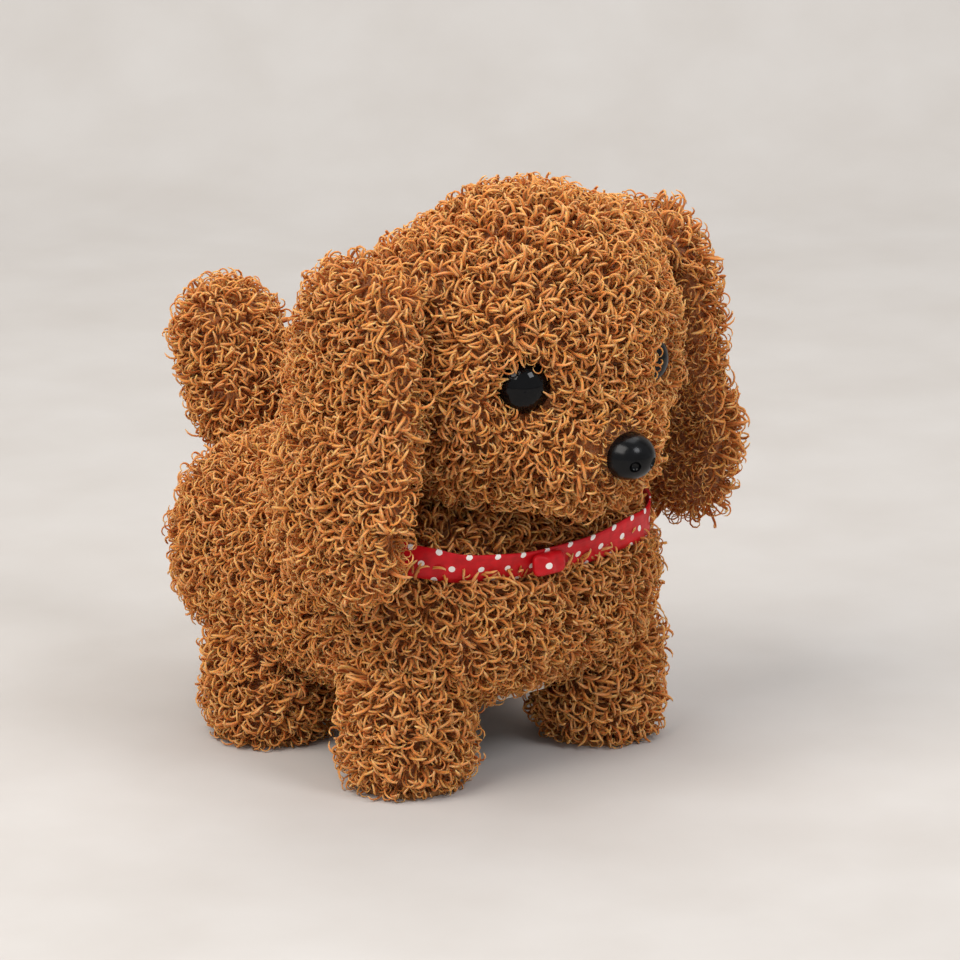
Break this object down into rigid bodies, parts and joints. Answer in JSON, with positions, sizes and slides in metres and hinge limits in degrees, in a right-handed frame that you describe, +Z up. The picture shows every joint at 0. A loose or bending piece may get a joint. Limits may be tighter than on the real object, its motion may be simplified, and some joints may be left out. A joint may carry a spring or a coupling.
{
  "type": "interactive plush pet",
  "caption": "Walking plush puppy with curly pile, drop ears, upright tail and dotted ribbon collar, driven by a battery gear case.",
  "frame": {"origin": "on the floor, under the middle of the overall length and width", "axes": "+Z up, the puppy faces -Y, +X is its left side"},
  "size_m": [0.139, 0.2036, 0.1715],
  "materials": {
    "battery_sleeve": "gloss",
    "black_plastic": "gloss",
    "brass": "satin",
    "case_plastic": "satin",
    "copper": "satin",
    "dark_plastic": "satin",
    "gear_plastic": "satin",
    "green_board": "satin",
    "lever_plastic": "satin",
    "plush_brown": "matte",
    "ribbon_satin": "satin",
    "sole_cloth": "matte",
    "speaker_paper": "matte",
    "steel": "satin",
    "white_fibre": "matte",
    "wire_red": "satin"
  },
  "bodies": {
    "torso": {"case_right": "case_plastic", "case_left": "case_plastic", "case_screws": "steel", "hip_pins": "steel", "axle_bushings": "brass", "gear_pins": "steel", "motor_can": "steel", "motor_end_cap": "dark_plastic", "circuit_board": "green_board", "board_components": "dark_plastic", "speaker_frame": "steel", "speaker_cone": "speaker_paper", "wiring": "wire_red", "battery_box": "case_plastic", "battery_contacts": "steel", "battery_cells": "battery_sleeve", "switch_housing": "dark_plastic", "neck_post": "case_plastic", "tail_pin": "steel", "body_plush": "plush_brown", "rump_stuffing": "white_fibre", "collar_ribbon": "ribbon_satin", "ribbon_knot": "ribbon_satin"},
    "motor_rotor": {"motor_armature": "copper", "motor_pinion": "brass"},
    "first_gear_body": {"first_gear": "gear_plastic"},
    "second_gear_body": {"second_gear": "gear_plastic"},
    "crankshaft": {"crank_axle": "steel", "crank_gear": "gear_plastic", "crank_discs": "lever_plastic"},
    "link_right": {"link_rod_right": "lever_plastic"},
    "link_left": {"link_rod_left": "lever_plastic"},
    "tail": {"tail_lever": "lever_plastic", "tail_plush": "plush_brown"},
    "head": {"head_yoke": "lever_plastic", "nod_pin": "steel", "head_stuffing": "white_fibre", "head_plush": "plush_brown", "eye_left": "black_plastic", "eye_right": "black_plastic", "nose": "black_plastic", "face_washers": "lever_plastic"},
    "ear_right_body": {"ear_right": "plush_brown"},
    "ear_left_body": {"ear_left": "plush_brown"},
    "switch_slider": {"switch_knob": "dark_plastic"},
    "battery_cover": {"battery_door": "case_plastic", "door_screw": "steel"},
    "leg_front_right": {"leg_core_front_right": "lever_plastic", "foot_sole_front_right": "sole_cloth", "leg_plush_front_right": "plush_brown"},
    "leg_front_left": {"leg_core_front_left": "lever_plastic", "foot_sole_front_left": "sole_cloth", "leg_plush_front_left": "plush_brown"},
    "leg_rear_right": {"leg_core_rear_right": "lever_plastic", "foot_sole_rear_right": "sole_cloth", "leg_plush_rear_right": "plush_brown"},
    "leg_rear_left": {"leg_core_rear_left": "lever_plastic", "foot_sole_rear_left": "sole_cloth", "leg_plush_rear_left": "plush_brown"}
  },
  "joints": [
    {"name": "crank_turn", "type": "hinge", "parent": "torso", "child": "crankshaft", "pos_m": [0, -0.01025, 0.06], "axis": [1, 0, 0], "continuous": true},
    {"name": "second_gear_turn", "type": "hinge", "parent": "torso", "child": "second_gear_body", "pos_m": [0, 0.00133, 0.06], "axis": [1, 0, 0], "continuous": true},
    {"name": "first_gear_turn", "type": "hinge", "parent": "torso", "child": "first_gear_body", "pos_m": [0, 0.01291, 0.06], "axis": [1, 0, 0], "continuous": true},
    {"name": "motor_turn", "type": "hinge", "parent": "torso", "child": "motor_rotor", "pos_m": [0, 0.02449, 0.06], "axis": [1, 0, 0], "continuous": true},
    {"name": "hip_front_right", "type": "hinge", "parent": "torso", "child": "leg_front_right", "pos_m": [-0.021, -0.04125, 0.046], "axis": [1, 0, 0], "range_deg": [-12, 12]},
    {"name": "hip_front_left", "type": "hinge", "parent": "torso", "child": "leg_front_left", "pos_m": [0.021, -0.04125, 0.046], "axis": [1, 0, 0], "range_deg": [-12, 12]},
    {"name": "hip_rear_right", "type": "hinge", "parent": "torso", "child": "leg_rear_right", "pos_m": [-0.021, 0.02075, 0.046], "axis": [1, 0, 0], "range_deg": [-12, 12]},
    {"name": "hip_rear_left", "type": "hinge", "parent": "torso", "child": "leg_rear_left", "pos_m": [0.021, 0.02075, 0.046], "axis": [1, 0, 0], "range_deg": [-12, 12]},
    {"name": "rod_right", "type": "hinge", "parent": "leg_front_right", "child": "link_right", "pos_m": [-0.026, -0.04125, 0.06], "axis": [1, 0, 0], "range_deg": [-12, 12]},
    {"name": "rod_left", "type": "hinge", "parent": "leg_front_left", "child": "link_left", "pos_m": [0.026, -0.04125, 0.06], "axis": [1, 0, 0], "range_deg": [-12, 12]},
    {"name": "tail_wag", "type": "hinge", "parent": "torso", "child": "tail", "pos_m": [0, 0.04275, 0.062], "axis": [0, 1, 0], "range_deg": [-15, 15]},
    {"name": "head_nod", "type": "hinge", "parent": "torso", "child": "head", "pos_m": [0, -0.04925, 0.1115], "axis": [1, 0, 0], "range_deg": [-5, 5]},
    {"name": "ear_right_lift", "type": "hinge", "parent": "head", "child": "ear_right_body", "pos_m": [-0.04208, -0.04325, 0.15], "axis": [0, 1, 0], "range_deg": [0, 70]},
    {"name": "ear_left_lift", "type": "hinge", "parent": "head", "child": "ear_left_body", "pos_m": [0.04208, -0.04325, 0.15], "axis": [0, -1, 0], "range_deg": [0, 70]},
    {"name": "switch_slide", "type": "slide", "parent": "torso", "child": "switch_slider", "axis": [1, 0, 0], "range_m": [0, 0.004]},
    {"name": "battery_door_off", "type": "slide", "parent": "torso", "child": "battery_cover", "axis": [0, 0, -1], "range_m": [0, 0.012]}
  ],
  "couplings": [
    {"joint": "second_gear_turn", "follows": "crank_turn", "ratio": -3.6},
    {"joint": "first_gear_turn", "follows": "crank_turn", "ratio": 12.96},
    {"joint": "motor_turn", "follows": "crank_turn", "ratio": -46.656},
    {"joint": "hip_rear_right", "follows": "hip_front_right", "ratio": 1},
    {"joint": "hip_front_left", "follows": "hip_front_right", "ratio": -1},
    {"joint": "hip_rear_left", "follows": "hip_front_right", "ratio": -1},
    {"joint": "rod_right", "follows": "hip_front_right", "ratio": -1},
    {"joint": "rod_left", "follows": "hip_front_right", "ratio": 1},
    {"joint": "tail_wag", "follows": "hip_front_right", "ratio": 1.25},
    {"joint": "head_nod", "follows": "hip_front_right", "ratio": 0.41667}
  ]
}
